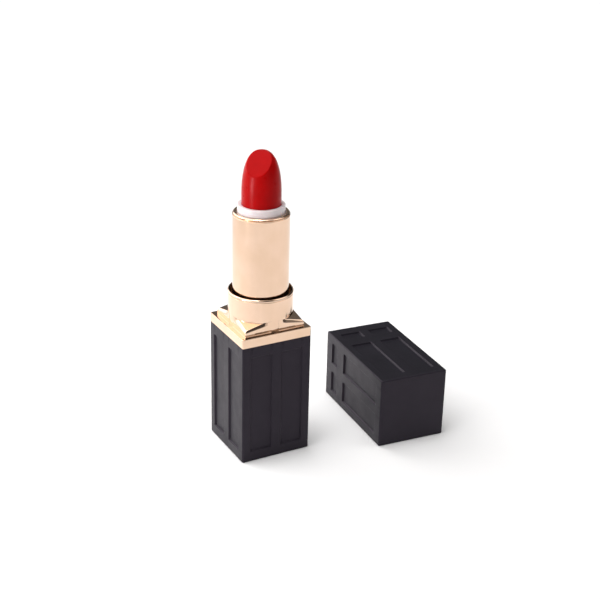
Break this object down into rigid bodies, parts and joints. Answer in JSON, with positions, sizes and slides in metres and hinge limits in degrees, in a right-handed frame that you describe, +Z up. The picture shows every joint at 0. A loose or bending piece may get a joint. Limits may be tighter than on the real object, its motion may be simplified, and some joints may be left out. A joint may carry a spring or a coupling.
{
  "type": "lipstick case",
  "caption": "Twist-up lipstick in a square black case with recessed panels, gold shoulder and tube, red bullet wound out, and its cap lying beside it.",
  "frame": {"origin": "centre of the base's underside, on the table", "axes": "+Z up along the bullet, +X towards the cap that lies beside the base, -Y towards the cap's closed end"},
  "size_m": [0.066, 0.0394, 0.091],
  "materials": {
    "satin_black_abs": "satin moulded",
    "weight_steel": "plain zinc-plated",
    "holder_plastic": "moulded",
    "gold_shoulder": "bright pale gold anodised",
    "gold_tube": "bright pale gold anodised",
    "white_acetal": "moulded",
    "silicone": "translucent silicone",
    "spiral_aluminium": "plain drawn",
    "white_cup": "moulded, half gloss",
    "lipstick_wax": "satin wax",
    "liner_plastic": "moulded"
  },
  "bodies": {
    "base": {"base_shell": "satin_black_abs", "base_weight": "weight_steel", "base_holder": "holder_plastic", "shoulder_frame": "gold_shoulder", "collar": "gold_shoulder", "guide_tube": "white_acetal", "brake_ring": "silicone"},
    "tube": {"tube_shell": "gold_tube", "spiral_sleeve": "spiral_aluminium"},
    "carrier": {"bullet_cup": "white_cup", "lipstick_bullet": "lipstick_wax"},
    "cap": {"cap_shell": "satin_black_abs", "cap_liner": "liner_plastic"}
  },
  "joints": [
    {"name": "tube_twist", "type": "hinge", "parent": "base", "child": "tube", "pos_m": [0, 0, 0.0396], "axis": [0, 0, 1], "range_deg": [0, 452]},
    {"name": "cup_slide", "type": "slide", "parent": "base", "child": "carrier", "axis": [0, 0, 1], "range_m": [-0.019, 0]},
    {"name": "cap_lift", "type": "slide", "parent": "base", "child": "cap", "axis": [0, 0, 1], "range_m": [0, 0.095]}
  ],
  "couplings": [
    {"joint": "tube_twist", "follows": "cup_slide", "rad_per_m": -413.37}
  ]
}
